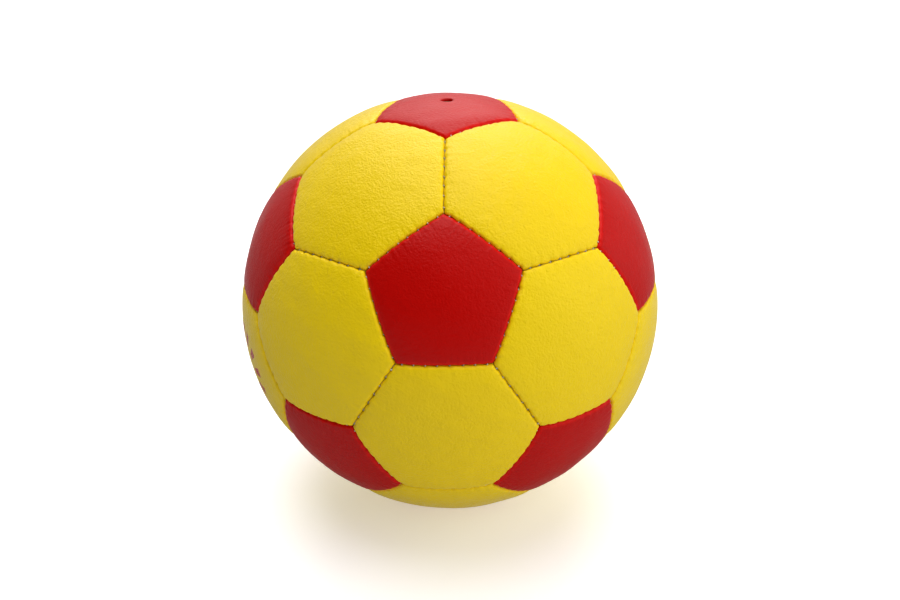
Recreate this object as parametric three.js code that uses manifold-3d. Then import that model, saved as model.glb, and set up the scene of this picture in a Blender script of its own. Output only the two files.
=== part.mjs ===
// Medicine ball: a hand-sewn cover of twelve red pentagons and twenty yellow hexagons, laid out as
// a truncated icosahedron and closed round a heavy rubber bladder with a needle valve.
//
// Millimetres. The origin is the ball's centre, +Z points out through the valve, and -Y points out
// through the red panel that stands upright when the valve is on top.
import * as THREE from 'three';
import { mergeVertices } from 'three/addons/utils/BufferGeometryUtils.js';
import Module from 'manifold-3d';

// ---- driving dimensions: cover ----
const BALL_DIAMETER = 220; // over the crowns of two opposite panels, pumped up
const PANEL_THICKNESS = 2.4; // leathercloth with its glued cloth lining
const PANEL_CROWN = 0.9; // height of a panel's middle above its edges
const EDGE_ROLL = 1.5; // radius of the fold where a panel turns down into its seam
const SEAM_GAP = 0.3; // between the two folds of a seam
const HEM_DEPTH = 4.8; // reach of the turned-down hem below the panel's edge
const HEM_THICKNESS = 1.6; // the hem is skived thinner than the panel
const HEM_SPREAD = 2.0; // between the ends of a seam's two hems, which open inwards

// ---- driving dimensions: thread ----
const THREAD_DIAMETER = 0.9;
const THREAD_SETBACK = 0.9; // thread's middle above the ends of the hems it joins
const THREAD_OVERLAP = 0.02; // reach of each seam's thread past a corner where it is tied in

// ---- driving dimensions: bladder and valve ----
const PIECE_GAP = 0.3; // clearance between pieces that touch or are bonded
const BLADDER_CLEARANCE = 0.6; // between the hems' ends and the bladder
const BLADDER_WALL = 4.0;
const VALVE_HOLE_DIAMETER = 6.4; // through the valve panel and the patch behind it
const PATCH_DIAMETER = 34;
const PATCH_THICKNESS = 0.6;
const FLANGE_DIAMETER = 32; // the valve seat's flange, bonded to the bladder
const NECK_SINK = 1.8; // top of the seat's neck below the ball's surface
const PLUG_SINK = 2.1; // top of the plug below the ball's surface
const NECK_WALL = 0.6; // of the seat's neck, round the plug's neck
const PLUG_NECK_LENGTH = 5.0;
const PLUG_BODY_DIAMETER = 7.0;
const PLUG_BODY_LENGTH = 18.0;
const NEEDLE_HOLE_DIAMETER = 1.0;
const NEEDLE_HOLE_DEPTH = 13.0;
const SLEEVE_WALL = 2.7; // of the seat's sleeve, round the plug's body
const SLEEVE_FLOOR = 1.5;
const BREATHER_DIAMETER = 2.0; // lets air through the sleeve's floor into the bladder

// ---- faceting ----
const STEPS_PER_SIDE = 3; // along each side of a panel
const PANEL_RINGS = 1; // between a panel's middle and its edge
const VALVE_PANEL_RINGS = 3; // finer, because the patch lies close behind it
const ROUND_STEPS = 20; // round the bladder, the valve and its hole
const BLADDER_STEPS = 10; // from the bladder's foot to its valve hole
const FLANGE_STEPS = 3; // from the valve's neck to the flange's edge
const THREAD_STEPS = 2; // along each seam
const THREAD_CURVE_SEGMENTS = 2; // half the number of sides of the thread

// ---- fits worked out from the dimensions ----
const ballRadius = BALL_DIAMETER / 2;
const edgeRadius = ballRadius - PANEL_CROWN;
const hemRadius = edgeRadius - HEM_DEPTH;
const threadRadius = hemRadius + THREAD_SETBACK;
const bladderRadius = hemRadius - BLADDER_CLEARANCE;
const patchRadius = edgeRadius - PANEL_THICKNESS - PIECE_GAP;
const flangeTopRadius = patchRadius - PATCH_THICKNESS - PIECE_GAP;
const flangeFootRadius = bladderRadius + PIECE_GAP;

// ---- finishes ----
function finish(color, roughness) {
  return new THREE.MeshStandardMaterial({ color, roughness, metalness: 0 });
}

const redLeathercloth = finish('#b01208', 0.5);
const yellowLeathercloth = finish('#ecd21e', 0.5);
const waxedThread = finish('#d8d2c4', 0.7);
const blackButyl = finish('#211f1e', 0.8);
const naturalRubber = finish('#a87a4a', 0.75);
const patchCloth = finish('#cfc8b6', 0.9);

const ball = new THREE.Group();
ball.name = 'medicine_ball';

function addPiece(name, geometry, material) {
  const mesh = new THREE.Mesh(geometry, material);
  mesh.name = name;
  ball.add(mesh);
}

// ---- joining and cutting ----
const wasm = await Module();
wasm.setup();

function toSolid(geometry) {
  const bare = geometry.clone();
  bare.deleteAttribute('normal');
  bare.deleteAttribute('uv');
  const merged = mergeVertices(bare);
  const vertProperties = new Float32Array(merged.attributes.position.array);
  const triVerts = new Uint32Array(merged.index.array);
  return new wasm.Manifold(new wasm.Mesh({ numProp: 3, vertProperties, triVerts }));
}

function toGeometry(solid) {
  const { vertProperties, triVerts } = solid.getMesh();
  const geometry = new THREE.BufferGeometry();
  geometry.setAttribute('position', new THREE.BufferAttribute(vertProperties, 3));
  geometry.setIndex(new THREE.BufferAttribute(triVerts, 1));
  geometry.computeVertexNormals();
  return geometry;
}

// ---- layout of the panels ----
// The pentagons' middles are the twelve corners of an icosahedron: one at each pole, five above the
// equator and five below it, turned half a step.
const BAND_LATITUDE = Math.atan(0.5);
const STEP = (2 * Math.PI) / 5;
const UPPER_START = -Math.PI / 2;
const LOWER_START = UPPER_START + STEP / 2;

function directionAt(latitude, longitude) {
  const flat = Math.cos(latitude);
  return new THREE.Vector3(flat * Math.cos(longitude), flat * Math.sin(longitude), Math.sin(latitude));
}

const pentagons = [];
for (let i = 0; i < 5; i += 1) {
  const upper = directionAt(BAND_LATITUDE, UPPER_START + i * STEP);
  const lower = directionAt(-BAND_LATITUDE, LOWER_START + i * STEP);
  pentagons.push({ name: `red_pentagon_upper_${i + 1}`, half: 'upper', centre: upper });
  pentagons.push({ name: `red_pentagon_lower_${i + 1}`, half: 'lower', centre: lower });
}
pentagons.push({ name: 'red_pentagon_valve', half: 'upper', centre: new THREE.Vector3(0, 0, 1) });
pentagons.push({ name: 'red_pentagon_bottom', half: 'lower', centre: new THREE.Vector3(0, 0, -1) });

// Neighbouring pentagons' middles are 63.4 degrees apart, and all others much further.
function areNeighbours(a, b) {
  return a !== b && a.centre.dot(b.centre) > 0.4;
}

// A corner of the cover lies a third of the way from one pentagon's middle to a neighbour's. Each
// is made once, so that panels and seams that meet there share it.
const corners = new Map();
function cornerBetween(near, far) {
  const key = `${near.name}>${far.name}`;
  if (!corners.has(key)) {
    const place = near.centre.clone().multiplyScalar(2).add(far.centre).normalize();
    corners.set(key, { key, place });
  }
  return corners.get(key);
}

// Puts corners in order round the panel, anticlockwise seen from outside, and works out for each
// side the inward normal of the plane through the ball's centre and the seam.
function withSides(panel, unordered) {
  const { centre } = panel;
  const first = unordered[0].place.clone().projectOnPlane(centre).normalize();
  const second = centre.clone().cross(first);
  const angleOf = (corner) => Math.atan2(corner.place.dot(second), corner.place.dot(first));
  const ordered = [...unordered].sort((a, b) => angleOf(a) - angleOf(b));
  const sidePlanes = ordered.map((corner, k) => {
    const next = ordered[(k + 1) % ordered.length];
    return corner.place.clone().cross(next.place).normalize();
  });
  return { ...panel, corners: ordered, sidePlanes };
}

const redPanels = pentagons.map((pentagon) => {
  const around = pentagons.filter((other) => areNeighbours(pentagon, other));
  return withSides(pentagon, around.map((other) => cornerBetween(pentagon, other)));
});

// A hexagon lies between each three pentagons that are neighbours of each other.
function hexagonBetween(name, half, three) {
  const centre = new THREE.Vector3();
  three.forEach((pentagon) => centre.add(pentagon.centre));
  const around = [];
  three.forEach((near) => {
    three.filter((far) => far !== near).forEach((far) => around.push(cornerBetween(near, far)));
  });
  return withSides({ name, half, centre: centre.normalize() }, around);
}

const pentagonNamed = (name) => pentagons.find((pentagon) => pentagon.name === name);
const yellowPanels = [];
for (let i = 1; i <= 5; i += 1) {
  const upper = pentagonNamed(`red_pentagon_upper_${i}`);
  const nextUpper = pentagonNamed(`red_pentagon_upper_${(i % 5) + 1}`);
  const lower = pentagonNamed(`red_pentagon_lower_${i}`);
  const nextLower = pentagonNamed(`red_pentagon_lower_${(i % 5) + 1}`);
  const valve = pentagonNamed('red_pentagon_valve');
  const bottom = pentagonNamed('red_pentagon_bottom');
  yellowPanels.push(
    hexagonBetween(`yellow_hexagon_crown_${i}`, 'upper', [valve, upper, nextUpper]),
    hexagonBetween(`yellow_hexagon_upper_${i}`, 'upper', [upper, nextUpper, lower]),
    hexagonBetween(`yellow_hexagon_lower_${i}`, 'lower', [nextUpper, lower, nextLower]),
    hexagonBetween(`yellow_hexagon_base_${i}`, 'lower', [bottom, lower, nextLower]),
  );
}

// ---- a panel ----
// The panel is drawn as a round lathe profile, x from its middle to the seam and y from the ball's
// surface, and its rings are then bent to the panel's sides.
function panelProfile(halfWidth, rings) {
  const flatWidth = halfWidth - EDGE_ROLL;
  const edgeX = halfWidth - SEAM_GAP / 2;
  const hemX = halfWidth - HEM_SPREAD / 2;
  const fold = edgeX - flatWidth;
  const outside = [];
  const inside = [];
  for (let ring = 0; ring <= rings; ring += 1) {
    const share = ring / (rings + 1);
    const y = -PANEL_CROWN * share ** 2;
    outside.unshift(new THREE.Vector2(flatWidth * share, y));
    inside.push(new THREE.Vector2(flatWidth * share, y - PANEL_THICKNESS));
  }
  return [
    ...inside,
    new THREE.Vector2(hemX - HEM_THICKNESS, -PANEL_CROWN - PANEL_THICKNESS),
    new THREE.Vector2(hemX - HEM_THICKNESS, -PANEL_CROWN - HEM_DEPTH),
    new THREE.Vector2(hemX, -PANEL_CROWN - HEM_DEPTH),
    new THREE.Vector2(edgeX, -PANEL_CROWN - fold),
    new THREE.Vector2(
      flatWidth + fold * Math.sin(Math.PI / 4),
      -PANEL_CROWN - fold * (1 - Math.cos(Math.PI / 4)),
    ),
    new THREE.Vector2(flatWidth, -PANEL_CROWN),
    ...outside,
  ];
}

// The point of a panel's corner k that is inset from both of its seam planes and lies at a radius.
function insetCorner(panel, k, inset, radius) {
  const count = panel.corners.length;
  const before = panel.sidePlanes[(k + count - 1) % count];
  const after = panel.sidePlanes[k % count];
  const shift = inset / (1 + before.dot(after));
  const point = panel.corners[k % count].place.clone();
  point.multiplyScalar(Math.sqrt(radius ** 2 - 2 * shift * inset));
  return point.addScaledVector(before, shift).addScaledVector(after, shift);
}

// The point a share of the way along side k, inset from the side's seam plane.
function insetPoint(panel, k, share, inset, radius) {
  const point = insetCorner(panel, k, inset, radius);
  if (share === 0) return point;
  const plane = panel.sidePlanes[k];
  point.lerp(insetCorner(panel, k + 1, inset, radius), share);
  point.addScaledVector(plane, -point.dot(plane));
  point.setLength(Math.sqrt(radius ** 2 - inset ** 2));
  return point.addScaledVector(plane, inset);
}

function panelGeometry(panel, rings) {
  const halfWidth = ballRadius * panel.centre.dot(panel.sidePlanes[0]);
  const profile = panelProfile(halfWidth, rings);
  const columns = panel.corners.length * STEPS_PER_SIDE;
  const geometry = new THREE.LatheGeometry(profile, columns);
  for (let column = 0; column <= columns; column += 1) {
    const side = Math.floor(column / STEPS_PER_SIDE) % panel.corners.length;
    const share = (column % STEPS_PER_SIDE) / STEPS_PER_SIDE;
    profile.forEach(({ x, y }, row) => {
      const radius = ballRadius + y;
      const inset = ((halfWidth - x) * radius) / ballRadius;
      const middle = panel.centre.clone().multiplyScalar(radius);
      const point = x === 0 ? middle : insetPoint(panel, side, share, inset, radius);
      geometry.attributes.position.setXYZ(column * profile.length + row, ...point);
    });
  }
  geometry.computeVertexNormals();
  return geometry;
}

function valvePanelGeometry(panel) {
  const holeRadius = VALVE_HOLE_DIAMETER / 2;
  const cutter = new THREE.CylinderGeometry(holeRadius, holeRadius, 2 * PANEL_THICKNESS + 2, ROUND_STEPS);
  cutter.rotateX(Math.PI / 2);
  cutter.translate(0, 0, ballRadius - PANEL_THICKNESS / 2);
  return toGeometry(toSolid(panelGeometry(panel, VALVE_PANEL_RINGS)).subtract(toSolid(cutter)));
}

redPanels.forEach((panel) => {
  const isValve = panel.name === 'red_pentagon_valve';
  const geometry = isValve ? valvePanelGeometry(panel) : panelGeometry(panel, PANEL_RINGS);
  addPiece(panel.name, geometry, redLeathercloth);
});
yellowPanels.forEach((panel) => {
  addPiece(panel.name, panelGeometry(panel, PANEL_RINGS), yellowLeathercloth);
});

// ---- thread ----
// Sixteen panels are sewn into each half cover, and one last zigzag seam closes the halves.
const seams = new Map();
[...redPanels, ...yellowPanels].forEach((panel) => {
  panel.corners.forEach((corner, k) => {
    const next = panel.corners[(k + 1) % panel.corners.length];
    const key = [corner.key, next.key].sort().join(' ');
    if (seams.has(key)) {
      const seam = seams.get(key);
      seam.thread = seam.half === panel.half ? panel.half : 'closing';
    } else {
      seams.set(key, { from: corner, to: next, half: panel.half });
    }
  });
});

const closingCorners = new Set();
seams.forEach((seam) => {
  if (seam.thread === 'closing') closingCorners.add(seam.from.key).add(seam.to.key);
});

class SeamArc extends THREE.Curve {
  constructor(seam, startReach, endReach) {
    super();
    this.start = seam.from.place;
    this.axis = seam.from.place.clone().cross(seam.to.place).normalize();
    this.firstAngle = -startReach / threadRadius;
    this.lastAngle = seam.from.place.angleTo(seam.to.place) + endReach / threadRadius;
  }

  getPoint(share, target = new THREE.Vector3()) {
    const angle = this.firstAngle + (this.lastAngle - this.firstAngle) * share;
    return target.copy(this.start).applyAxisAngle(this.axis, angle).multiplyScalar(threadRadius);
  }
}

// A half cover's thread stops short of the closing seam's thread, and runs past its own corners.
const stopShort = THREAD_DIAMETER / 2 / Math.sin(Math.PI / 3) + PIECE_GAP;
function reachAt(corner, thread) {
  return thread !== 'closing' && closingCorners.has(corner.key) ? -stopShort : THREAD_OVERLAP;
}

const threadSection = new THREE.Shape().absarc(0, 0, THREAD_DIAMETER / 2, 0, 2 * Math.PI);

function threadGeometry(thread) {
  let joined = null;
  seams.forEach((seam) => {
    if (seam.thread !== thread) return;
    const arc = new SeamArc(seam, reachAt(seam.from, thread), reachAt(seam.to, thread));
    const tube = toSolid(
      new THREE.ExtrudeGeometry(threadSection, {
        steps: THREAD_STEPS,
        curveSegments: THREAD_CURVE_SEGMENTS,
        extrudePath: arc,
      }),
    );
    joined = joined ? joined.add(tube) : tube;
  });
  return toGeometry(joined);
}

addPiece('thread_upper_half', threadGeometry('upper'), waxedThread);
addPiece('thread_lower_half', threadGeometry('lower'), waxedThread);
addPiece('thread_closing_seam', threadGeometry('closing'), waxedThread);

// ---- turned pieces ----
// Profiles are drawn upright, x from the axis and y upwards, and turned to stand along +Z.
function turned(profile) {
  return new THREE.LatheGeometry(profile, ROUND_STEPS).rotateX(Math.PI / 2);
}

const at = (x, y) => new THREE.Vector2(x, y);

// Points on a sphere round the ball's centre, from one distance off the valve's axis to another.
function domeBetween(radius, fromX, toX, steps) {
  const fromAngle = Math.asin(fromX / radius);
  const toAngle = Math.asin(toX / radius);
  const points = [];
  for (let i = 0; i <= steps; i += 1) {
    const angle = fromAngle + ((toAngle - fromAngle) * i) / steps;
    points.push(at(radius * Math.sin(angle), radius * Math.cos(angle)));
  }
  return points;
}

// ---- valve patch: a disc of cloth glued behind the valve panel ----
const valveHoleRadius = VALVE_HOLE_DIAMETER / 2;
const patchProfile = [
  ...domeBetween(patchRadius - PATCH_THICKNESS, valveHoleRadius, PATCH_DIAMETER / 2, FLANGE_STEPS),
  ...domeBetween(patchRadius, PATCH_DIAMETER / 2, valveHoleRadius, FLANGE_STEPS),
];
addPiece('valve_patch', turned([...patchProfile, patchProfile[0]]), patchCloth);

// ---- valve plug: pushed into the seat, holds air by the squeeze round its needle hole ----
const neckRadius = valveHoleRadius - PIECE_GAP;
const neckBore = neckRadius - NECK_WALL;
const plugNeckRadius = neckBore - PIECE_GAP;
const plugTop = ballRadius - PLUG_SINK;
const plugShoulder = plugTop - PLUG_NECK_LENGTH;
const plugFoot = plugShoulder - PLUG_BODY_LENGTH;
const needleRadius = NEEDLE_HOLE_DIAMETER / 2;
addPiece(
  'valve_plug',
  turned([
    at(0, plugFoot),
    at(PLUG_BODY_DIAMETER / 2, plugFoot),
    at(PLUG_BODY_DIAMETER / 2, plugShoulder),
    at(plugNeckRadius, plugShoulder),
    at(plugNeckRadius, plugTop),
    at(needleRadius, plugTop),
    at(needleRadius, plugTop - NEEDLE_HOLE_DEPTH),
    at(0, plugTop - NEEDLE_HOLE_DEPTH),
  ]),
  naturalRubber,
);

// ---- valve seat: neck, flange and sleeve in one moulding, bonded to the bladder ----
const neckTop = ballRadius - NECK_SINK;
const chamberRadius = PLUG_BODY_DIAMETER / 2 + PIECE_GAP;
const chamberTop = plugShoulder + PIECE_GAP;
const chamberFoot = plugFoot - PIECE_GAP;
const sleeveRadius = chamberRadius + SLEEVE_WALL;
const sleeveFoot = chamberFoot - SLEEVE_FLOOR;
const breatherRadius = BREATHER_DIAMETER / 2;
const seatProfile = [
  at(breatherRadius, sleeveFoot),
  at(sleeveRadius, sleeveFoot),
  ...domeBetween(flangeFootRadius, sleeveRadius, FLANGE_DIAMETER / 2, FLANGE_STEPS),
  ...domeBetween(flangeTopRadius, FLANGE_DIAMETER / 2, neckRadius, FLANGE_STEPS),
  at(neckRadius, neckTop),
  at(neckBore, neckTop),
  at(neckBore, chamberTop),
  at(chamberRadius, chamberTop),
  at(chamberRadius, chamberFoot),
  at(breatherRadius, chamberFoot),
];
addPiece('valve_seat', turned([...seatProfile, seatProfile[0]]), naturalRubber);

// ---- bladder: a thick rubber ball, open only where the seat's sleeve goes in ----
const bladderHoleRadius = sleeveRadius + PIECE_GAP;

function bladderSkin(radius) {
  const lastAngle = Math.PI - Math.asin(bladderHoleRadius / radius);
  const points = [];
  for (let i = 1; i <= BLADDER_STEPS; i += 1) {
    const angle = (lastAngle * i) / BLADDER_STEPS;
    points.push(at(radius * Math.sin(angle), -radius * Math.cos(angle)));
  }
  return points;
}

const bladderInnerRadius = bladderRadius - BLADDER_WALL;
addPiece(
  'bladder',
  turned([
    at(0, -bladderRadius),
    ...bladderSkin(bladderRadius),
    ...bladderSkin(bladderInnerRadius).reverse(),
    at(0, -bladderInnerRadius),
  ]),
  blackButyl,
);

export default ball;
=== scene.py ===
import math

import bmesh
import bpy
import numpy as np
from mathutils import Matrix, Vector


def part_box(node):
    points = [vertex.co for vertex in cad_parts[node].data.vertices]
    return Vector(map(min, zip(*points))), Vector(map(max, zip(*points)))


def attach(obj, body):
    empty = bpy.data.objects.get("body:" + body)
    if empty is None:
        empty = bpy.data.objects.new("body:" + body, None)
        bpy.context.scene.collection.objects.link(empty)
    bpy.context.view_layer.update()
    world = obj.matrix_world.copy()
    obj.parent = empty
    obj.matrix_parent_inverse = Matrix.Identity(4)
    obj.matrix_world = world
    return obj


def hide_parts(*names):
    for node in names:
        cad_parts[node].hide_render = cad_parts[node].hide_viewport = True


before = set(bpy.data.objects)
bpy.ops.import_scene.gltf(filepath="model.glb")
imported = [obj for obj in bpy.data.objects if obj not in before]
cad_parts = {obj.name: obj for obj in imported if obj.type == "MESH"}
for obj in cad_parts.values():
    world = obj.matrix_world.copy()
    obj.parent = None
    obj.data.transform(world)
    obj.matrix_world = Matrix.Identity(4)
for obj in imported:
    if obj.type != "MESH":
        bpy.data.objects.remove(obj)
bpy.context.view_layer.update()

# ---------------------------------------------------------------------------------- bladder
# Bladder: a ball of butyl rubber 4 mm thick, moulded in two halves. It holds the air and most of
# the weight, and a low parting line is left round its middle where the mould closed.

MM = 0.001
bladder_radius = -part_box("bladder")[0].z
bladder_inside = bladder_radius - 4.0 * MM
bladder_hole = 6.8 * MM
parting_height = 0.15 * MM
parting_spread = 0.01


def turned(outline, steps, closed=False):
    """Turns an outline of (distance from the axis, height) points round Z."""
    bm = bmesh.new()
    points = [bm.verts.new((x, 0, z)) for x, z in outline]
    ends = points[1:] + points[:1] if closed else points[1:]
    edges = [bm.edges.new(pair) for pair in zip(points, ends)]
    bmesh.ops.spin(
        bm, geom=points + edges, cent=(0, 0, 0), axis=(0, 0, 1), angle=math.tau, steps=steps, use_merge=True
    )
    bmesh.ops.remove_doubles(bm, verts=bm.verts[:], dist=MM / 1000)
    bmesh.ops.recalc_face_normals(bm, faces=bm.faces[:])
    return bm


def as_mesh(name, bm):
    """A finished mesh, smooth shaded."""
    mesh = bpy.data.meshes.new(name)
    bm.to_mesh(mesh)
    bm.free()
    mesh.shade_smooth()
    return mesh


def add_piece(mesh, materials, node):
    """Makes a mesh into a piece that rides on the ball and stands for one CAD node."""
    for material in materials:
        mesh.materials.append(material)
    piece = bpy.data.objects.new(mesh.name, mesh)
    bpy.context.scene.collection.objects.link(piece)
    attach(piece, "root")
    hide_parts(node)
    return piece


def linear(code):
    """An sRGB hex colour as the linear RGBA that nodes take."""
    parts = [int(code[i : i + 2], 16) / 255 for i in (1, 3, 5)]
    return (*[c / 12.92 if c <= 0.04045 else ((c + 0.055) / 1.055) ** 2.4 for c in parts], 1)


def new_material(name, roughness, ior=1.5):
    """A material with a Principled shader, its node tree, and the place that patterns are drawn at."""
    material = bpy.data.materials.new(name)
    material.use_nodes = True
    tree = material.node_tree
    shader = tree.nodes["Principled BSDF"]
    shader.inputs["Roughness"].default_value = roughness
    shader.inputs["IOR"].default_value = ior
    return material, tree, shader, add_node(tree, "TexCoord").outputs["Object"]


def add_node(tree, kind, inputs=None, **settings):
    """Adds a node with its settings, and sets or links its inputs."""
    node = tree.nodes.new("ShaderNode" + kind)
    for name, value in settings.items():
        setattr(node, name, value)
    for name, value in (inputs or {}).items():
        if isinstance(value, bpy.types.NodeSocket):
            tree.links.new(value, node.inputs[name])
        else:
            node.inputs[name].default_value = value
    return node


# Butyl rubber, moulded: near black, dull, with a bloom of talc that keeps it from sticking.
butyl, tree, shader, place = new_material("butyl_rubber_moulded", roughness=0.7)
talc = add_node(tree, "TexNoise", {"Vector": place, "Scale": 60, "Detail": 4})
dusty = add_node(
    tree, "Mix", {0: talc.outputs["Fac"], 6: linear("#1b1a19"), 7: linear("#3a3836")}, data_type="RGBA"
)
tree.links.new(dusty.outputs[2], shader.inputs["Base Color"])
sand = add_node(tree, "TexNoise", {"Vector": place, "Scale": 1 / (0.8 * MM), "Detail": 2})
bump = add_node(tree, "Bump", {"Height": sand.outputs["Fac"], "Distance": 0.05 * MM})
tree.links.new(bump.outputs["Normal"], shader.inputs["Normal"])


def bladder_wall(radius, ridge):
    """A skin's outline from the hole to the foot, with the parting line at the middle."""
    angles = np.linspace(math.asin(bladder_hole / radius), math.pi, 49)
    shape = [radius + ridge * math.exp(-(((a - math.pi / 2) / parting_spread) ** 2)) for a in angles]
    return [(r * math.sin(a), r * math.cos(a)) for a, r in zip(angles, shape)]


outline = bladder_wall(bladder_radius - parting_height, parting_height)[::-1]
outline += bladder_wall(bladder_inside, 0)
add_piece(as_mesh("bladder_ball", turned(outline, 96)), [butyl], "bladder")

# ------------------------------------------------------------------------------- valve seat
# Valve seat: one moulding of natural rubber. Its flange is vulcanised to the bladder, its neck
# stands in the cover's hole, and its sleeve reaches into the ball and grips the plug.

neck_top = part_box("valve_seat")[1].z
sleeve_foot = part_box("valve_seat")[0].z
flange_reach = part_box("valve_seat")[1].x
neck_radius = 2.9 * MM
neck_bore = 2.3 * MM
sleeve_radius = 6.5 * MM
chamber_radius = 3.8 * MM
chamber_top = 103.2 * MM
sleeve_floor = 1.5 * MM
chamber_foot = sleeve_foot + sleeve_floor
breather_radius = 1.0 * MM
flange_top = 105.4 * MM
flange_foot = bladder_radius + 0.3 * MM
moulded_edge = 0.15 * MM

# Natural rubber, moulded: brown, dull, darker where dirt has rubbed in.
gum, tree, shader, place = new_material("natural_rubber_moulded", roughness=0.6)
grime = add_node(tree, "TexNoise", {"Vector": place, "Scale": 1 / (2.5 * MM), "Detail": 3})
tan = add_node(
    tree, "Mix", {0: grime.outputs["Fac"], 6: linear("#6e3e1e"), 7: linear("#a06c3e")}, data_type="RGBA"
)
tree.links.new(tan.outputs[2], shader.inputs["Base Color"])
bump = add_node(tree, "Bump", {"Height": grime.outputs["Fac"], "Distance": 0.08 * MM})
tree.links.new(bump.outputs["Normal"], shader.inputs["Normal"])


def dome(radius, first, last, steps):
    """Points of an outline on a sphere round the ball's centre, between two distances off the axis."""
    angles = np.linspace(math.asin(first / radius), math.asin(last / radius), steps + 1)
    return [(radius * math.sin(a), radius * math.cos(a)) for a in angles]


def with_round_edges(bm, width):
    """Rounds the edges that a mould or a die leaves less than sharp."""
    sharp = [edge for edge in bm.edges if edge.calc_face_angle(0) > math.radians(30)]
    bmesh.ops.bevel(
        bm, geom=sharp, offset=width, affect="EDGES", segments=2, profile=0.5, material=-1, clamp_overlap=True
    )
    return bm


outline = [
    (breather_radius, sleeve_foot),
    (sleeve_radius, sleeve_foot),
    *dome(flange_foot, sleeve_radius, flange_reach, 6),
    *dome(flange_top, flange_reach, neck_radius, 8),
    (neck_radius, neck_top),
    (neck_bore, neck_top),
    (neck_bore, chamber_top),
    (chamber_radius, chamber_top),
    (chamber_radius, chamber_foot),
    (breather_radius, chamber_foot),
]
seat = with_round_edges(turned(outline, 48, closed=True), moulded_edge)
add_piece(as_mesh("valve_seat_moulding", seat), [gum], "valve_seat")

# ------------------------------------------------------------------------------- valve plug
# Valve plug: a stopper of softer natural rubber pushed into the seat from outside. The pump's
# needle goes down the small hole in its neck, which closes again when the needle is drawn out.

plug_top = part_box("valve_plug")[1].z
plug_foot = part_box("valve_plug")[0].z
plug_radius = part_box("valve_plug")[1].x
plug_shoulder = plug_top - 5.0 * MM
plug_neck = 2.0 * MM
plug_taper = 0.8 * MM
plug_taper_height = 1.5 * MM
needle_radius = 0.5 * MM
needle_depth = 13.0 * MM
dish_radius = 1.1 * MM
dish_depth = 0.7 * MM
plug_edge = 0.12 * MM
outline = [
    (0, plug_foot),
    (plug_radius - plug_taper, plug_foot),
    (plug_radius, plug_foot + plug_taper_height),
    (plug_radius, plug_shoulder),
    (plug_neck, plug_shoulder),
    (plug_neck, plug_top),
    (dish_radius, plug_top),
    (needle_radius, plug_top - dish_depth),
    (needle_radius, plug_top - needle_depth),
    (0, plug_top - needle_depth),
]
plug = with_round_edges(turned(outline, 40), plug_edge)
add_piece(as_mesh("valve_plug_stopper", plug), [gum], "valve_plug")

# ------------------------------------------------------------------------------ valve patch
# Valve patch: a disc of the lining cloth, punched out and glued behind the valve panel, so that
# the hole in the cover doesn't tear.

patch_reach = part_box("valve_patch")[1].x
patch_hole = 3.2 * MM
patch_outside = 106.35 * MM
patch_inside = patch_outside - 0.55 * MM
cut_edge = 0.1 * MM
thread_spacing = 0.6 * MM
weave_scale = 0.1 * math.pi / thread_spacing

# Cotton and polyester cloth, plain woven: off-white and matt, with the weave just showing.
cloth, tree, shader, place = new_material("lining_cloth_woven", roughness=0.9)
warp = add_node(tree, "TexWave", {"Vector": place, "Scale": weave_scale}, bands_direction="X")
weft = add_node(tree, "TexWave", {"Vector": place, "Scale": weave_scale}, bands_direction="Y")
weave = add_node(tree, "Math", {0: warp.outputs["Fac"], 1: weft.outputs["Fac"]}, operation="MAXIMUM")
woven = add_node(
    tree, "Mix", {0: weave.outputs[0], 6: linear("#a79f8c"), 7: linear("#d9d2c0")}, data_type="RGBA"
)
tree.links.new(woven.outputs[2], shader.inputs["Base Color"])
bump = add_node(tree, "Bump", {"Height": weave.outputs[0], "Distance": 0.1 * MM})
tree.links.new(bump.outputs["Normal"], shader.inputs["Normal"])

outline = dome(patch_inside, patch_hole, patch_reach, 8) + dome(patch_outside, patch_reach, patch_hole, 8)
patch = with_round_edges(turned(outline, 72, closed=True), cut_edge)
patch = add_piece(as_mesh("valve_patch_disc", patch), [cloth], "valve_patch")

# ------------------------------------------------------------------------- layout of the cover
# Cover: twelve pentagons and twenty hexagons. The pentagons' middles are the corners of an
# icosahedron with one corner at the valve, and a hexagon lies between each three of them.

fifth_turn = math.tau / 5
band_latitude = math.atan(0.5)


def direction(latitude, longitude):
    """The unit vector from the ball's centre towards a place on it."""
    flat = math.cos(latitude)
    return np.array([flat * math.cos(longitude), flat * math.sin(longitude), math.sin(latitude)])


def unit(vectors):
    """Vectors at length 1."""
    return vectors / np.linalg.norm(vectors, axis=-1, keepdims=True)


pentagons = {
    "red_pentagon_valve": direction(math.pi / 2, 0),
    "red_pentagon_bottom": direction(-math.pi / 2, 0),
}
for i in range(5):
    longitude = -math.pi / 2 + i * fifth_turn
    pentagons[f"red_pentagon_upper_{i + 1}"] = direction(band_latitude, longitude)
    pentagons[f"red_pentagon_lower_{i + 1}"] = direction(-band_latitude, longitude + fifth_turn / 2)

hexagons = {}
for i in range(5):
    here, after = i + 1, (i + 1) % 5 + 1
    upper, next_upper = f"red_pentagon_upper_{here}", f"red_pentagon_upper_{after}"
    lower, next_lower = f"red_pentagon_lower_{here}", f"red_pentagon_lower_{after}"
    hexagons[f"yellow_hexagon_crown_{here}"] = ("red_pentagon_valve", upper, next_upper)
    hexagons[f"yellow_hexagon_upper_{here}"] = (upper, next_upper, lower)
    hexagons[f"yellow_hexagon_lower_{here}"] = (next_upper, lower, next_lower)
    hexagons[f"yellow_hexagon_base_{here}"] = ("red_pentagon_bottom", lower, next_lower)

# A corner lies a third of the way from one pentagon's middle to a neighbour's.
corner_places = []


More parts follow.
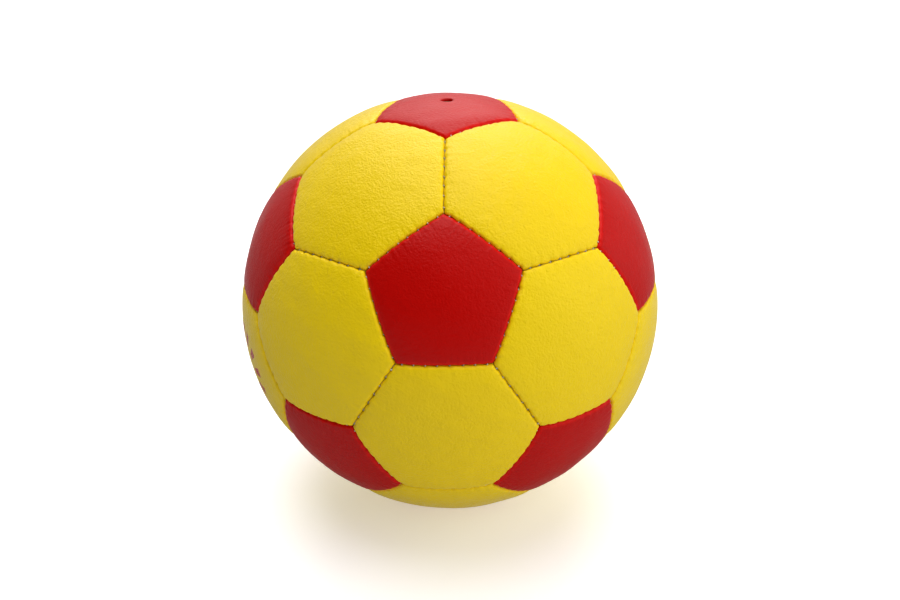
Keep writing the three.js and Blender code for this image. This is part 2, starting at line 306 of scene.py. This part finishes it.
def corner_between(near, far):
    """The number of a corner, which every panel and seam that meets there shares."""
    place = unit(2 * pentagons[near] + pentagons[far])
    for number, known in enumerate(corner_places):
        if np.dot(place, known) > 0.9999:
            return number
    corner_places.append(place)
    return len(corner_places) - 1


def in_order(middle, numbers):
    """Corners in order round a panel, anticlockwise seen from outside."""
    first = unit(corner_places[numbers[0]] - middle * np.dot(middle, corner_places[numbers[0]]))
    second = np.cross(middle, first)
    return sorted(numbers, key=lambda n: math.atan2(corner_places[n] @ second, corner_places[n] @ first))


# Neighbouring pentagons lie 63 degrees apart, and the next ones beyond a right angle.
panels = {}
for name, middle in pentagons.items():
    around = [corner_between(name, other) for other in pentagons if 0.4 < middle @ pentagons[other] < 0.9]
    panels[name] = {"middle": middle, "corners": in_order(middle, around)}
for name, three in hexagons.items():
    middle = unit(sum(pentagons[near] for near in three))
    around = [corner_between(near, far) for near in three for far in three if near != far]
    panels[name] = {"middle": middle, "corners": in_order(middle, around)}

# ------------------------------------------------------------------------------------ seams
# Seams: ninety, sewn by hand with two needles. Each has eight stitches, never quite evenly
# spaced, and the line that the two folds make wanders a little from stitch to stitch.

ball_radius = -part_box("red_pentagon_bottom")[0].z
stitches_per_seam = 8
first_stitch = 3.0 * MM
stitch_wander = 0.5 * MM
stitch_step = 0.12 * MM
seam_wander = 0.16 * MM
creases_per_seam = 6
valve_corners = [corner_places[number] for number in panels["red_pentagon_valve"]["corners"]]
seam_length = ball_radius * math.acos(valve_corners[0] @ valve_corners[1])
stitch_pitch = (seam_length - 2 * first_stitch) / (stitches_per_seam - 1)
chance = np.random.default_rng(32)


class Seam:
    """One seam, from its lower numbered corner to its higher, with what the sewer's hand left."""

    def __init__(self, start, end):
        self.start = corner_places[start]
        self.across = unit(np.cross(self.start, corner_places[end]))
        self.along = np.cross(self.across, self.start)
        self.joins = []

        # Where each stitch is, how hard it was pulled, and how deep it lies below the folds.
        even = np.linspace(first_stitch, seam_length - first_stitch, stitches_per_seam)
        self.stitches = even + chance.uniform(-stitch_wander, stitch_wander, stitches_per_seam)
        self.depths = chance.uniform(0.6, 1.3, stitches_per_seam)
        self.sinks = (chance.uniform(-0.1, 0.35, stitches_per_seam) + chance.uniform(-0.1, 0.35)) * MM

        # How far the line of the folds swings, and each crease's height, length and phase.
        self.swings = chance.uniform(-1, 1, 3)
        self.creases = chance.uniform(-1, 1, (creases_per_seam, 3))

    def wander(self, s):
        """How far the seam strays across its plane, a distance s along it."""
        share = s / seam_length
        waves = sum(a * np.sin((i + 1) * math.pi * share) / (i + 1) for i, a in enumerate(self.swings))
        steps = np.sin(math.tau * (s - first_stitch) / stitch_pitch)
        return seam_wander * waves + stitch_step * steps

    def place(self, s):
        """The direction of a point a distance s along the seam."""
        angle = s / ball_radius
        return self.start * math.cos(angle) + self.along * math.sin(angle)


seams = {}
for name, panel in panels.items():
    loop = panel["corners"]
    for here, there in zip(loop, loop[1:] + loop[:1]):
        key = (min(here, there), max(here, there))
        if key not in seams:
            seams[key] = Seam(*key)
        seams[key].joins.append(name)

# ----------------------------------------------------------------------------------- panels
# Panels: leathercloth with two layers of cloth glued behind it, punched out flat with a hem of
# 5 mm. The hem is turned in and sewn to the next panel's, so each edge rolls down into its seam.
# Air pressure domes each panel, and each stitch draws its edge down and in.

panel_thickness = 2.4 * MM
panel_crown = 0.55 * MM
outer_steps = 80
inner_steps = 16

# The folded edge and the hem.
roll_radius = 1.5 * MM
roll_steps = 8
seam_half_gap = 0.02 * MM
hem_depth = 4.7 * MM
hem_thickness = 1.3 * MM
hem_spread = 0.9 * MM

# How far the seam and each stitch pull the edge down, and how far in from the seam that reaches.
seam_dip = 0.55 * MM
seam_dip_reach = 2.5 * MM
stitch_dip = 0.3 * MM
stitch_dip_reach = 2.0 * MM
stitch_dip_length = 1.3 * MM

# How far each stitch pulls the edge sideways, by the panel's number of sides.
stitch_notch = {5: 0.1 * MM, 6: 0.45 * MM}
notch_lead = 0.35 * MM
notch_length = 0.6 * MM
notch_reach = 1.1 * MM
wander_reach = 3.0 * MM

# Creases that fan in from a tight seam, and slow hollows over the whole panel.
crease_height = 0.05 * MM
crease_reach = 4.5 * MM
crease_length = 3.5 * MM
crease_length_change = 1.8 * MM
crease_phase = 9
hollow_depth = 0.06 * MM
hollows = 8
hollow_widths = (12 * MM, 38 * MM)

corner_round = 0.12 * MM
corner_dip = 0.7 * corner_round
corner_reach = 2.2 * MM
valve_hole = 3.2 * MM
hole_dip = 0.35 * MM
hole_dip_reach = 0.9 * MM

# Each ring of the rim: inset from the seam, and depth below the panel's surface. The fold is a
# quarter circle, and the hem hangs from it, spreading a little towards its end.
rim = []
for step in range(roll_steps + 1):
    turn = step / roll_steps * math.pi / 2
    rim.append((seam_half_gap + roll_radius * (1 - math.sin(turn)), roll_radius * (1 - math.cos(turn))))
halfway = 0.5
rim.append((seam_half_gap + halfway**2 * hem_spread, halfway * hem_depth))
rim.append((seam_half_gap + hem_spread, hem_depth))
rim.append((seam_half_gap + hem_spread + hem_thickness, hem_depth))
inside_ring = (seam_half_gap + hem_spread + hem_thickness, panel_thickness)
ring_sizes = np.array([inside_ring] + rim)
hem_end = len(ring_sizes) - 1


def panel_blank(sides, hole=False):
    """A panel laid out flat, with corners at distance 1: its outside, rim rings and inside.

    The rings are stacked below each other only so that the faces know which way is out.
    """
    bm = bmesh.new()
    ring = bm.verts.layers.int.new("ring")
    corner_turn = Matrix.Rotation(-math.pi / 2, 3, "Z")
    bmesh.ops.create_circle(bm, cap_ends=True, cap_tris=True, segments=sides, radius=1)
    bmesh.ops.subdivide_edges(bm, edges=bm.edges[:], cuts=outer_steps - 1, use_grid_fill=True)
    for vert in bm.verts:
        vert[ring] = 1
    border = [edge for edge in bm.edges if edge.is_boundary]
    for number in range(2, len(ring_sizes)):
        grown = bmesh.ops.extrude_edge_only(bm, edges=border)["geom"]
        border = [part for part in grown if isinstance(part, bmesh.types.BMEdge) and part.is_boundary]
        for part in grown:
            if isinstance(part, bmesh.types.BMVert):
                part[ring] = number
                part.co.z = -number / 50
    middle = bmesh.ops.create_circle(bm, cap_ends=True, cap_tris=True, segments=sides, radius=1)["verts"]
    spokes = list({edge for vert in middle for edge in vert.link_edges})
    bmesh.ops.subdivide_edges(bm, edges=spokes, cuts=inner_steps - 1, use_grid_fill=True)
    for vert in bm.verts:
        if vert[ring] == 0:
            vert.co.z = -0.3
    if hole:
        cut_hole(bm, ring, sides)
    border = [edge for edge in bm.edges if edge.is_boundary and edge.verts[0].co.length > 0.5]
    bmesh.ops.bridge_loops(bm, edges=border)
    bmesh.ops.rotate(bm, verts=bm.verts[:], cent=(0, 0, 0), matrix=corner_turn)
    bmesh.ops.recalc_face_normals(bm, faces=bm.faces[:])
    for face in bm.faces:
        rings = [vert[ring] for vert in face.verts]
        hole_wall = min(rings) == 0 and max(rings) == 1
        face.material_index = int(not hole_wall and (min(rings) == 0 or max(rings) == hem_end))
    return bm


def blank_mesh(bm, name):
    """The blank as a mesh, with its flat places and ring numbers as arrays."""
    ring = bm.verts.layers.int["ring"]
    rings = np.array([vert[ring] for vert in bm.verts])
    flat = np.array([vert.co[:2] for vert in bm.verts])
    return as_mesh(name, bm), flat, rings


def shaped(name, flat, rings):
    """A blank's points turned in, domed and sewn: places, distance from the seam, and depth."""
    middle = panels[name]["middle"]
    loop = panels[name]["corners"]
    corners = [corner_places[number] for number in loop]
    reach = math.acos(middle @ corners[0])
    first = unit(corners[0] - middle * (middle @ corners[0]))
    second = np.cross(middle, first)
    side_reach = math.sin(reach) * math.cos(math.pi / len(loop))
    tilt = math.cos(math.atan2(side_reach, math.cos(reach)))
    inset, depth = ring_sizes[rings].T
    shrink = 1 - inset / (ball_radius * tilt * side_reach)
    spread = flat * (shrink * math.sin(reach))[:, None]
    aim = unit(middle * math.cos(reach) + spread[:, :1] * first + spread[:, 1:] * second)

    share = np.arccos(np.clip(aim @ middle, -1, 1)) / reach
    drop = panel_crown * share**2 + depth
    shift = np.zeros_like(aim)
    nearest = np.full(len(aim), 1.0)
    for here, there in zip(loop, loop[1:] + loop[:1]):
        seam = seams[(min(here, there), max(here, there))]
        side = 1 if here < there else -1
        away = np.maximum(ball_radius * side * (aim @ seam.across), 0)
        s = ball_radius * np.arctan2(aim @ seam.along, aim @ seam.start)
        nearest = np.minimum(nearest, away)
        drop += seam_dip * np.exp(-away / seam_dip_reach)
        close = np.exp(-away / stitch_dip_reach)
        notch = np.zeros(len(aim))
        for place, strength in zip(seam.stitches, seam.depths):
            drop += stitch_dip * strength * close * np.exp(-(((s - place) / stitch_dip_length) ** 2))
            notch += strength * np.exp(-(((s - place - notch_lead) / notch_length) ** 2))
        fading = np.exp(-away / crease_reach)
        for height, length, phase in seam.creases:
            turn = math.tau * s / (crease_length + crease_length_change * length)
            turn += crease_phase * phase * side
            drop += crease_height * height * fading * np.sin(turn)
        sideways = seam.wander(s) * np.exp(-away / wander_reach)
        sideways += side * stitch_notch[len(loop)] * notch * np.exp(-away / notch_reach)
        shift += sideways[:, None] * seam.across
    for corner in corners:
        gap = ball_radius * np.arccos(np.clip(aim @ corner, -1, 1))
        close = np.exp(-((gap / corner_reach) ** 2))
        drop += corner_dip * close
        shift += (corner_round * close)[:, None] * unit(middle - corner)
    if name == "red_pentagon_valve":
        from_rim = ball_radius * np.arccos(np.clip(aim[:, 2], -1, 1)) - valve_hole
        drop += hole_dip * np.exp(-from_rim / hole_dip_reach)
    for _ in range(hollows):
        wave = unit(chance.normal(size=3)) * math.tau / chance.uniform(*hollow_widths)
        deep = hollow_depth * chance.uniform(0.2, 1)
        drop += deep * np.sin(aim @ wave * ball_radius + chance.uniform(0, 6))
    return aim * (ball_radius - drop)[:, None] + shift, nearest, depth


def sew_in(name, blank, materials):
    """Adds the panel that stands for a CAD node, shaped from its blank."""
    mesh, flat, rings = blank
    places, away, depth = shaped(name, flat, rings)
    own = mesh.copy()
    own.name = name + "_sewn"
    own.vertices.foreach_set("co", places.astype(np.float32).ravel())
    tone = np.full(len(places), chance.uniform(0, 1))
    for label, values in (("away_mm", away / MM), ("depth_mm", depth / MM), ("tone", tone)):
        own.attributes.new(label, "FLOAT", "POINT").data.foreach_set("value", values.astype(np.float32))
    piece = add_piece(own, materials, name)


# Leathercloth: a soft polyurethane coat on cloth, pressed hot with a pebble grain. It gives a satin face with
# fine wrinkles, a whitish shine where it turns away, a brighter colour on the fold, partly the coat stretched
# over it and partly a painted highlight, and painted shade down in the seam. The real grain is about 0.7 mm,
# drawn at 1.1 mm so that it shows.
def leathercloth(name, face, shade, fold, groove_shade, relief, ior, sheen):
    """The coat's material, its node tree and its shader. The tone of each panel differs a little."""
    material, tree, shader, place = new_material(name, roughness=0.38, ior=ior)
    tone = add_node(tree, "Attribute", attribute_name="tone").outputs["Fac"]
    place = add_node(tree, "VectorMath", {0: place, 1: tone}, operation="ADD").outputs[0]
    stray = add_node(tree, "TexNoise", {"Vector": place, "Scale": 1 / (2.5 * MM), "Detail": 2})
    astray = add_node(
        tree, "VectorMath", {0: stray.outputs["Color"], "Scale": 1.5 * MM}, operation="SCALE"
    )
    bent = add_node(tree, "VectorMath", {0: place, 1: astray.outputs[0]}, operation="ADD").outputs[0]
    pebbles = add_node(tree, "TexVoronoi", {"Vector": bent, "Scale": 1 / (1.1 * MM)}, feature="SMOOTH_F1")
    fine = add_node(tree, "TexNoise", {"Vector": place, "Scale": 1 / (0.6 * MM), "Detail": 3})
    wrinkles = add_node(
        tree, "TexNoise", {"Vector": bent, "Scale": 1 / (1.1 * MM), "Detail": 3, "Roughness": 0.6}
    )
    folds = add_node(tree, "TexNoise", {"Vector": place, "Scale": 1 / (7.0 * MM), "Detail": 4})
    normal = None
    layers = (
        (pebbles.outputs["Distance"], -0.16),
        (fine.outputs["Fac"], 0.14),
        (wrinkles.outputs["Fac"], 0.2),
        (folds.outputs["Fac"], 0.4),
    )
    for layer, height in layers:
        settings = {"Height": layer, "Distance": height * relief * MM}
        if normal:
            settings["Normal"] = normal
        normal = add_node(tree, "Bump", settings).outputs["Normal"]
    tree.links.new(normal, shader.inputs["Normal"])

    patchy = add_node(tree, "TexNoise", {"Vector": place, "Scale": 1 / (28 * MM), "Detail": 4})
    mixed = add_node(tree, "Math", {0: patchy.outputs["Fac"], 1: tone}, operation="MULTIPLY")
    colour = add_node(
        tree, "Mix", {0: mixed.outputs[0], 6: linear(face), 7: linear(shade)}, data_type="RGBA"
    ).outputs[2]

    # Brighter on the fold, within about 2 mm of the seam: partly the coat stretched, partly a painted
    # highlight. Darker from 1 mm down into the seam: painted shade in the groove.
    away = add_node(tree, "Attribute", attribute_name="away_mm").outputs["Fac"]
    fold_highlight_share = add_node(tree, "MapRange", {"Value": away, 1: 0.7, 2: 2.2, 3: 0.8, 4: 0.0}).outputs[0]
    colour = add_node(tree, "Mix", {0: fold_highlight_share, 6: colour, 7: linear(fold)}, data_type="RGBA").outputs[2]
    sunk = add_node(tree, "Attribute", attribute_name="depth_mm").outputs["Fac"]
    groove_shaded = add_node(tree, "MapRange", {"Value": sunk, 1: 0.9, 2: 1.9, 3: 0.0, 4: 0.85}).outputs[0]
    colour = add_node(tree, "Mix", {0: groove_shaded, 6: colour, 7: linear(groove_shade)}, data_type="RGBA").outputs[2]
    tree.links.new(colour, shader.inputs["Base Color"])
    shader.inputs["Sheen Weight"].default_value = sheen
    shader.inputs["Sheen Roughness"].default_value = 0.16
    return material, tree, shader


# -------------------------------------------------------------------------------- red panels
# Red panels: pigment red right through the coat, brighter on the fold, partly where it is stretched over it
# and partly a painted highlight. The valve panel has a round hole punched in its middle.

# The hole takes the place of the innermost steps of the outer and of the inner grid. From there
# to three tenths of the way out, the grid goes over from circles to the panel's own shape.
outer_steps_cut = 7
inner_steps_cut = 2
round_share = 0.3
circle_spacing = 0.85


def cut_hole(bm, ring, sides):
    """Opens the middle of a blank's outside and inside, and joins them round the hole."""
    reach = math.tan(math.acos(pentagons["red_pentagon_valve"] @ valve_corners[0]))
    radius = valve_hole / (ball_radius * reach)
    side_reach = math.cos(math.pi / sides)
    skins = ((1, outer_steps, outer_steps_cut), (0, inner_steps, inner_steps_cut))
    for skin, steps, opened in skins:
        lost = []
        for vert in bm.verts:
            if vert[ring] != skin:
                continue
            off_middle = vert.co.xy.length
            turn = math.atan2(vert.co.x, vert.co.y) % (math.tau / sides) - math.pi / sides
            level = off_middle * math.cos(turn) / side_reach * steps
            if level < opened - 0.5:
                lost.append(vert)
                continue
            blend = min(max((level - opened) / (steps * round_share), 0), 1)
            blend = blend * blend * (3 - 2 * blend)
            wanted = radius + (level - opened) / steps * circle_spacing
            vert.co.xy *= blend + (1 - blend) * wanted / off_middle
        bmesh.ops.delete(bm, geom=lost, context="VERTS")
    border = [edge for edge in bm.edges if edge.is_boundary and edge.verts[0].co.xy.length < 0.5]
    bmesh.ops.bridge_loops(bm, edges=border)


# Pigmented red: deep and even, with the grain pressed lightly.
red = leathercloth(
    "leathercloth_red_embossed",
    face="#ba0400",
    shade="#ae0300",
    # The fold colour is partly the coat stretched over the fold and partly a painted highlight.
    fold="#da0c02",
    # The colour down in the seam is painted shade in the groove.
    groove_shade="#3c0200",
    relief=0.7,
    ior=1.23,
    sheen=0.2,
)[0]
pentagon_blank = blank_mesh(panel_blank(5), "pentagon_blank")
valve_blank = blank_mesh(panel_blank(5, hole=True), "valve_pentagon_blank")
for name in pentagons:
    blank = valve_blank if name == "red_pentagon_valve" else pentagon_blank
    sew_in(name, blank, [red, cloth])

# ----------------------------------------------------------------------------- yellow panels
# Yellow panels: the same cloth with a yellow coat, punched as hexagons. One of them carries a
# ring of short bars, screen printed in red before it is sewn in.

# Pigmented yellow: warm and bright, with the grain pressed deeper than in the red.
yellow_coat = {
    "face": "#f0cf04",
    "shade": "#edc803",
    # The fold colour is partly the coat stretched over the fold and partly a painted highlight.
    "fold": "#f4d003",
    # The colour down in the seam is painted shade in the groove.
    "groove_shade": "#6a4700",
    "relief": 1.2,
    "ior": 1.29,
    "sheen": 0.38,
}
yellow = leathercloth("leathercloth_yellow_embossed", **yellow_coat)[0]

# The same with screen ink: flat red bars with clean edges, and the grain showing through.
printed, tree, shader = leathercloth("leathercloth_yellow_printed", **yellow_coat)
printed_panel = "yellow_hexagon_lower_4"
print_bars = 13
print_bar_share = 0.45
print_radius = 19 * MM
print_half_height = 4.2 * MM
print_up = unit(np.cross(panels[printed_panel]["middle"], (0, 0, 1)))
print_across = np.cross(panels[printed_panel]["middle"], print_up)
spot = add_node(tree, "TexCoord").outputs["Object"]
ways = [
    add_node(tree, "VectorMath", {0: spot, 1: tuple(way)}, operation="DOT_PRODUCT").outputs["Value"]
    for way in (print_up, print_across)
]
turned_by = add_node(tree, "Math", {0: ways[0], 1: ways[1]}, operation="ARCTAN2").outputs[0]
bars = add_node(tree, "Math", {0: turned_by, 1: print_bars / math.tau}, operation="MULTIPLY").outputs[0]
phase = add_node(tree, "Math", {0: bars}, operation="FRACT").outputs[0]
in_bar = add_node(tree, "Math", {0: phase, 1: print_bar_share}, operation="LESS_THAN").outputs[0]
flat_spot = add_node(tree, "CombineXYZ", {"X": ways[0], "Y": ways[1]}).outputs[0]
off_middle = add_node(tree, "VectorMath", {0: flat_spot}, operation="LENGTH").outputs["Value"]
in_ring = add_node(
    tree, "Math", {0: off_middle, 1: print_radius, 2: print_half_height}, operation="COMPARE"
).outputs[0]
inked = add_node(tree, "Math", {0: in_bar, 1: in_ring}, operation="MULTIPLY").outputs[0]
under = shader.inputs["Base Color"].links[0].from_socket
ink = add_node(tree, "Mix", {0: inked, 6: under, 7: linear("#c01a2c")}, data_type="RGBA").outputs[2]
tree.links.new(ink, shader.inputs["Base Color"])
hexagon_blank = blank_mesh(panel_blank(6), "hexagon_blank")
for name in hexagons:
    coat = printed if name == printed_panel else yellow
    sew_in(name, hexagon_blank, [coat, cloth])

# ----------------------------------------------------------------------------------- thread
# Thread: waxed polyester cord. It runs hidden between the hems and comes up to the folds at each
# stitch. The upper and lower halves are sewn first, and the zigzag between them closes the ball.

cord_radius = 0.45 * MM
cord_bed = ball_radius - 4.8 * MM
stitch_width = 0.56 * MM
stitch_across = 1.05 * MM
stitch_slant = 0.35
stitch_sink = 0.66 * MM

# The share of the crown's drop that a panel's edge has at its middle. At its corners it is whole.
edge_crown_share = 0.72

# Waxed polyester: off-white, with a soft shine, and greyed in places by handling.
waxed, tree, shader, place = new_material("waxed_polyester_cord", roughness=0.42)
handled = add_node(tree, "TexNoise", {"Vector": place, "Scale": 1 / (6 * MM), "Detail": 3})
greyed = add_node(
    tree, "Mix", {0: handled.outputs["Fac"], 6: linear("#b4ac9c"), 7: linear("#f4f1ea")}, data_type="RGBA"
)
tree.links.new(greyed.outputs[2], shader.inputs["Base Color"])
strands = add_node(tree, "TexNoise", {"Vector": place, "Scale": 1 / (0.25 * MM), "Detail": 2})
bump = add_node(tree, "Bump", {"Height": strands.outputs["Fac"], "Distance": 0.04 * MM})
tree.links.new(bump.outputs["Normal"], shader.inputs["Normal"])


def lay_cord(bm, seam):
    """The cord along one seam's bed."""
    ring = bmesh.ops.create_circle(bm, segments=6, radius=cord_radius)["verts"]
    upright = Matrix((seam.across, seam.start, seam.along)).transposed()
    bmesh.ops.rotate(bm, verts=ring, cent=(0, 0, 0), matrix=upright)
    bmesh.ops.translate(bm, verts=ring, vec=Vector(seam.start * cord_bed))
    round_it = list({edge for vert in ring for edge in vert.link_edges})
    bmesh.ops.spin(
        bm, geom=ring + round_it, cent=(0, 0, 0), axis=seam.across, angle=seam_length / ball_radius, steps=16
    )


def lay_stitch(bm, seam, s, strength, sink):
    """One stitch: a leg up from the cord, and the grain that shows across the folds."""
    out = seam.place(s)
    along = np.cross(seam.across, out)
    slant = unit(seam.across + stitch_slant * along)
    frame_of = Matrix((np.cross(slant, out), slant, out)).transposed()
    towards_corner = (2 * s / seam_length - 1) ** 2
    edge_drop = panel_crown * (edge_crown_share + (1 - edge_crown_share) * towards_corner)
    level = ball_radius - edge_drop - seam_dip - stitch_dip * strength - stitch_sink - sink
    astray = seam.across * seam.wander(s)
    grain = bmesh.ops.create_uvsphere(bm, u_segments=8, v_segments=6, radius=0.5)["verts"]
    bmesh.ops.scale(bm, verts=grain, vec=(stitch_width, stitch_across, stitch_width))
    bmesh.ops.rotate(bm, verts=grain, cent=(0, 0, 0), matrix=frame_of)
    bmesh.ops.translate(bm, verts=grain, vec=Vector(out * level + astray))
    leg = bmesh.ops.create_cone(
        bm,
        cap_ends=True,
        segments=6,
        radius1=0.5 * stitch_width,
        radius2=0.4 * stitch_width,
        depth=level - cord_bed,
    )["verts"]
    bmesh.ops.rotate(bm, verts=leg, cent=(0, 0, 0), matrix=frame_of)
    bmesh.ops.translate(bm, verts=leg, vec=Vector(out * 0.5 * (level + cord_bed) + astray))


def half_of(name):
    """Which half of the cover a panel is sewn into."""
    return "upper" if "valve" in name or "crown" in name or "_upper_" in name else "lower"


cords = {name: bmesh.new() for name in ("thread_upper_half", "thread_lower_half", "thread_closing_seam")}
one_seam = bpy.data.meshes.new("one_seam")
for seam in seams.values():
    bm = bmesh.new()
    lay_cord(bm, seam)
    for s, strength, sink in zip(seam.stitches, seam.depths, seam.sinks):
        lay_stitch(bm, seam, s, strength, sink)
    bm.to_mesh(one_seam)
    bm.free()
    sides = {half_of(name) for name in seam.joins}
    cords["thread_closing_seam" if len(sides) == 2 else f"thread_{sides.pop()}_half"].from_mesh(one_seam)
for name, bm in cords.items():
    holes = [edge for edge in bm.edges if edge.is_boundary]
    bmesh.ops.holes_fill(bm, edges=holes, sides=6)
    bmesh.ops.recalc_face_normals(bm, faces=bm.faces[:])
    add_piece(as_mesh(name.replace("thread", "cord"), bm), [waxed], name)

# ------------------------------------------------------------------------------- floor, light
# Studio: white paper on a light table, and soft light from above and from the right. It is dark
# in front of the ball, and a white backdrop is behind it. The camera sees white all round.

floor_reach = 6
floor_glow = 0.35
mirrored_glow = 0.05
softbox_spread = math.radians(50)
floor_mesh = bpy.data.meshes.new("floor")
bm = bmesh.new()
bmesh.ops.create_grid(bm, x_segments=1, y_segments=1, size=floor_reach)
bmesh.ops.translate(bm, verts=bm.verts[:], vec=(0, 0, -ball_radius - 0.2 * MM))
bm.to_mesh(floor_mesh)
bm.free()
floor = bpy.data.objects.new("floor", floor_mesh)
bpy.context.scene.collection.objects.link(floor)

# Paper, uncoated: white and matt, lit a little from below. Only the stage does this: the floor is
# darker to the ball's gloss and to the light that it throws back than it looks from the camera.
paper, tree, shader, place = new_material("floor_paper", roughness=0.9)
ray = add_node(tree, "LightPath")
lit = add_node(
    tree,
    "Mix",
    {0: ray.outputs["Is Glossy Ray"], 6: linear("#aaaaaa"), 7: linear("#5c5c5c")},
    data_type="RGBA",
).outputs[2]
white = add_node(
    tree, "Mix", {0: ray.outputs["Is Camera Ray"], 6: lit, 7: linear("#f2f2f2")}, data_type="RGBA"
).outputs[2]
tree.links.new(white, shader.inputs["Base Color"])
from_below = add_node(
    tree, "MapRange", {"Value": ray.outputs["Is Glossy Ray"], 3: floor_glow, 4: mirrored_glow}
).outputs[0]
tree.links.new(from_below, shader.inputs["Emission Strength"])
shader.inputs["Emission Color"].default_value = (1, 1, 1, 1)
floor_mesh.materials.append(paper)

world = bpy.data.worlds.new("studio")
world.use_nodes = True
tree = world.node_tree
facing = add_node(tree, "TexCoord").outputs["Generated"]
behind = add_node(tree, "SeparateXYZ", {0: facing}).outputs["Y"]
backdrop = add_node(tree, "MapRange", {"Value": behind, 1: -0.1, 2: 0.4, 3: 0.02, 4: 0.5}).outputs[0]
ray = add_node(tree, "LightPath")
seen = add_node(tree, "Math", {0: backdrop, 1: ray.outputs["Is Camera Ray"]}, operation="ADD").outputs[0]
tree.links.new(seen, tree.nodes["Background"].inputs["Strength"])
tree.nodes["Background"].inputs["Color"].default_value = (1, 1, 1, 1)
bpy.context.scene.world = world


def add_soft_light(name, toward, strength, mirrored=True):
    """A light as wide as a large softbox. One that isn't mirrored doesn't show in the gloss."""
    lamp = bpy.data.lights.new(name, "SUN")
    lamp.angle = softbox_spread
    lamp.energy = strength
    light = bpy.data.objects.new(name, lamp)
    light.rotation_euler = Vector(toward).to_track_quat("Z", "Y").to_euler()
    light.visible_glossy = mirrored
    bpy.context.scene.collection.objects.link(light)


add_soft_light("overhead", (0, 0, 1), 2.0)
add_soft_light("overhead_back", (0, 0.7, 0.7), 1.6)
add_soft_light("front_right", (0.6, -0.5, 0.62), 0.85, mirrored=False)
add_soft_light("front_right_low", (0.8, -0.6, 0.1), 0.46, mirrored=False)
add_soft_light("right", (1, -0.1, 0.25), 0.62)

# ----------------------------------------------------------------------------------- camera
# Camera: an ordinary lens a little over half a metre from the ball, looking down at it.

camera_distance = 0.5735
camera_azimuth = math.radians(1.66)
camera_elevation = math.radians(25.62)
camera_roll = math.radians(-0.9)
lens = bpy.data.cameras.new("camera")
lens.lens = 42.6
lens.sensor_width = 36
camera = bpy.data.objects.new("camera", lens)
away = Vector((
    math.sin(camera_azimuth) * math.cos(camera_elevation),
    -math.cos(camera_azimuth) * math.cos(camera_elevation),
    math.sin(camera_elevation),
))
turn = away.to_track_quat("Z", "Y").to_matrix() @ Matrix.Rotation(camera_roll, 3, "Z")
camera.matrix_world = Matrix.Translation(away * camera_distance) @ turn.to_4x4()
bpy.context.scene.collection.objects.link(camera)
bpy.context.scene.camera = camera
bpy.context.scene.view_settings.view_transform = "Standard"
